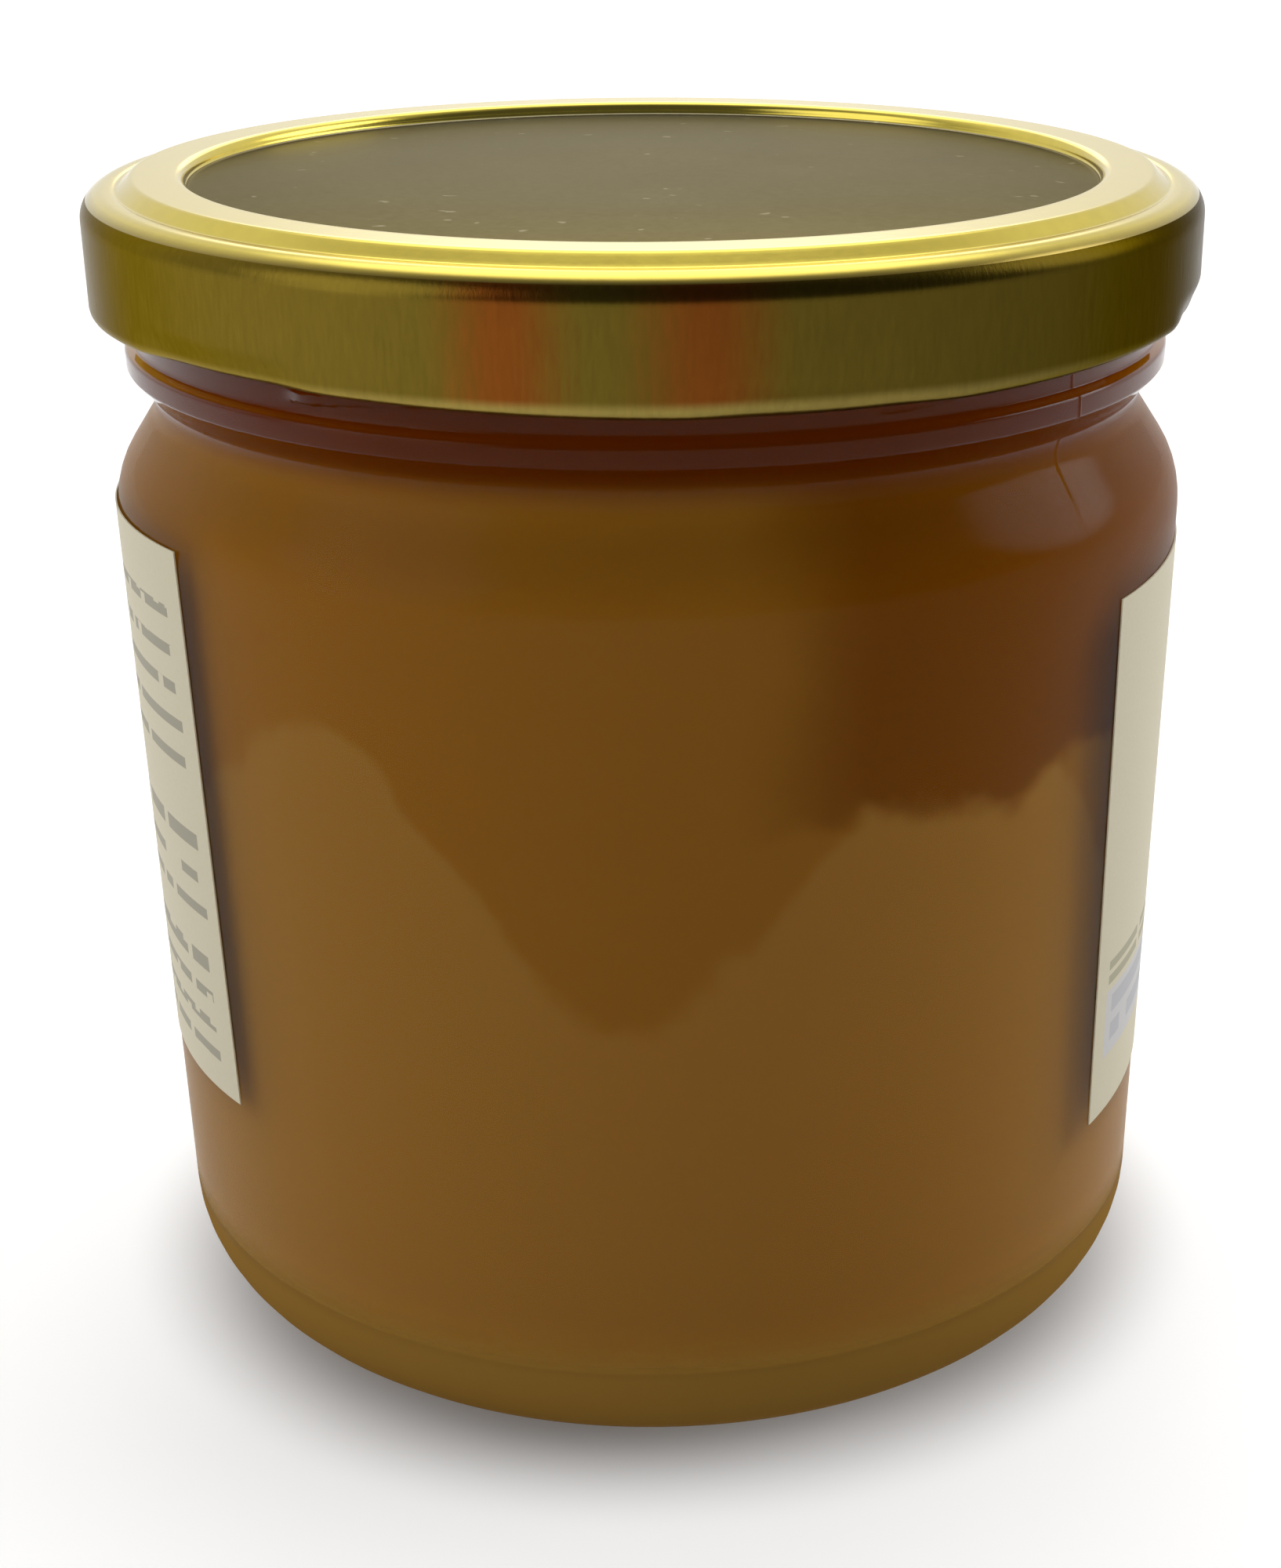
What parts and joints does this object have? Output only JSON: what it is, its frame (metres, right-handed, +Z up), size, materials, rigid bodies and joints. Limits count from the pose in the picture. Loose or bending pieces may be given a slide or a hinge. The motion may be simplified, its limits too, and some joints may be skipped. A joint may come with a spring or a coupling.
{
  "type": "honey jar",
  "caption": "Round clear glass jar filled with amber honey, shut with a gold metal lug lid and wrapped in a plain cream paper label.",
  "frame": {"origin": "centre of the flat ring under the base that the jar stands on", "axes": "+Z up along the axis of the jar; -Y towards the bare glass between the two ends of the label, +X to the right of it"},
  "size_m": [0.0852, 0.0852, 0.0924],
  "materials": {
    "glass": "clear, polished by the mould",
    "honey": "thick amber honey, clear above and hazier below",
    "lid": "gold lacquer over tinplate, finely brushed",
    "label": "cream label paper, matt"
  },
  "bodies": {
    "root": {"jar": "glass", "honey": "honey", "lid": "lid", "label": "label"}
  },
  "joints": []
}
